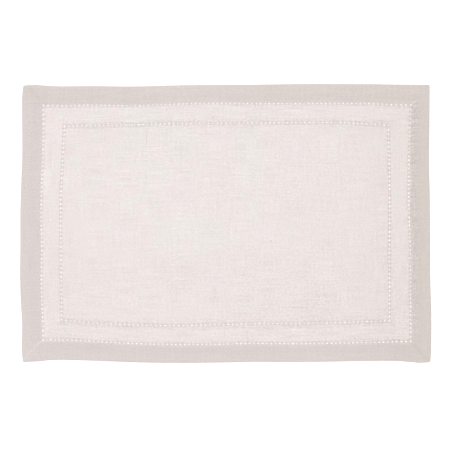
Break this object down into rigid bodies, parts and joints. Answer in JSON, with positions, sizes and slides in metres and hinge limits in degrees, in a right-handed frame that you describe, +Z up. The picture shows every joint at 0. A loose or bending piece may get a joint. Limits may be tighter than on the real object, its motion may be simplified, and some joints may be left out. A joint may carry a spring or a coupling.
{
  "type": "hemstitched fabric placemat",
  "caption": "Rectangular linen placemat lying flat, with a wide mitred hem folded to the back and rows of small drawn-thread holes running round it.",
  "frame": {"origin": "on the table surface, under the middle of the mat's outline", "axes": "+X along the long side of the mat, +Y along its short side, away from the diner, +Z up out of the face that shows"},
  "size_m": [0.486, 0.3298, 0.002],
  "materials": {
    "linen": "matte plain-woven linen, greige where the hem is doubled and paler in the semi-sheer single layer"
  },
  "bodies": {
    "root": {"cloth": "linen"}
  },
  "joints": []
}
